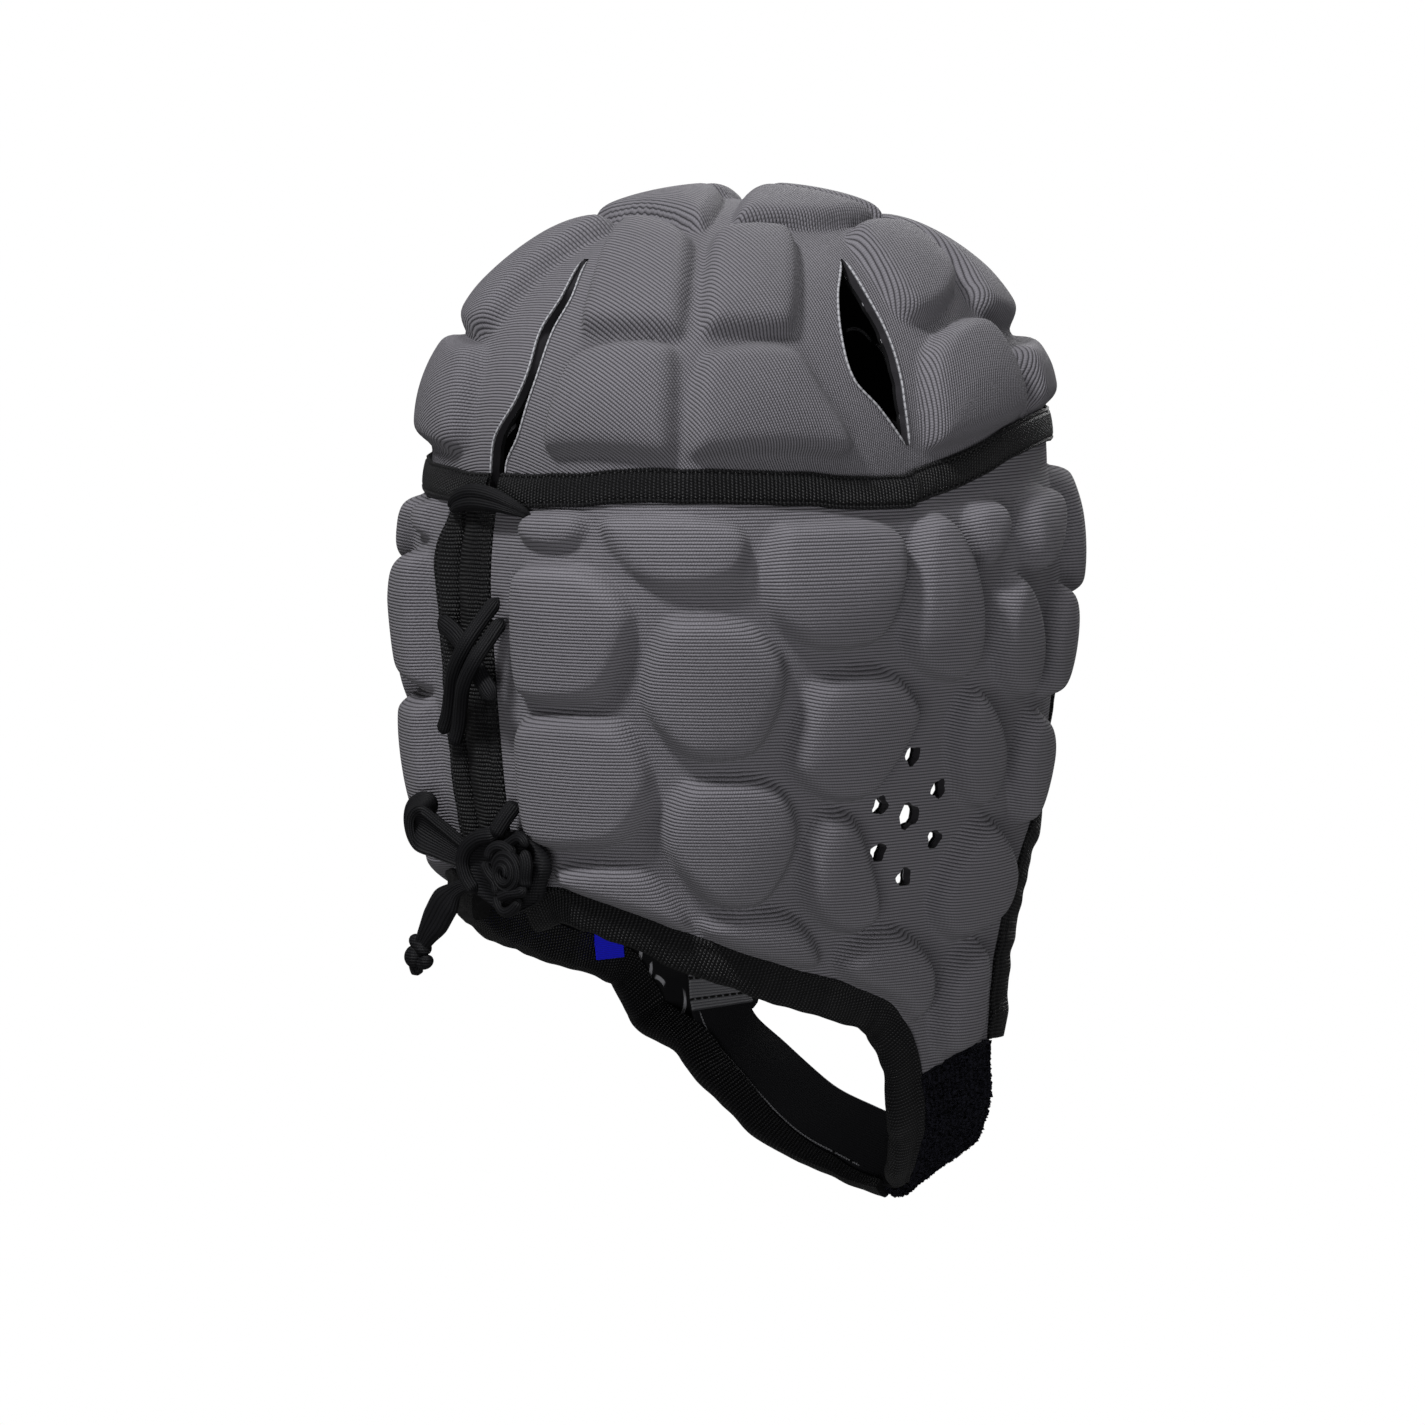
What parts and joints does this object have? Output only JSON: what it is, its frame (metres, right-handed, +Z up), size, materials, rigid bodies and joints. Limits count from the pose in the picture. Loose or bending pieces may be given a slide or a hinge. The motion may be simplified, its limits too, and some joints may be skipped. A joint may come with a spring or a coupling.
{
  "type": "rugby scrum cap",
  "caption": "Soft padded head guard with quilted knit crown and side panels, taped edges, laced back, ear vent holes and a closed chin strap.",
  "frame": {"origin": "inside top of the crown on the head's centre line, where the cap rests on a head or stand", "axes": "+Z up, -Y towards the face, +Y towards the laced back, -X towards the wearer's right"},
  "size_m": [0.1837, 0.2154, 0.3096],
  "materials": {
    "knit": "matt fine-ribbed knit over foam",
    "lining": "matt brushed knit with small grey strokes",
    "tape": "matt ribbed tape",
    "lace": "matt woven lace",
    "pile": "loop pile",
    "webbing": "smooth woven webbing",
    "patch": "matt fabric with two stitch rows",
    "label": "plain satin label"
  },
  "bodies": {
    "root": {"crown": "knit", "side_panel_right": "knit", "side_panel_left": "knit", "crown_lining": "lining", "side_lining_right": "lining", "side_lining_left": "lining", "crown_band": "tape", "lower_binding_right": "tape", "lower_binding_left": "tape", "face_binding_right": "tape", "face_binding_left": "tape", "lace_edge_right": "tape", "lace_edge_left": "tape", "lace_top_bar": "lace", "lace_over_upper": "lace", "lace_over_lower": "lace", "lace_under": "lace", "lace_stub": "lace", "lace_knot": "lace", "lace_rosette": "lace", "lace_bow_loop": "lace", "lace_tail": "lace", "chin_strap_right": "pile", "chin_strap_left": "webbing", "strap_anchor_patch": "patch", "inner_label": "label"}
  },
  "joints": []
}
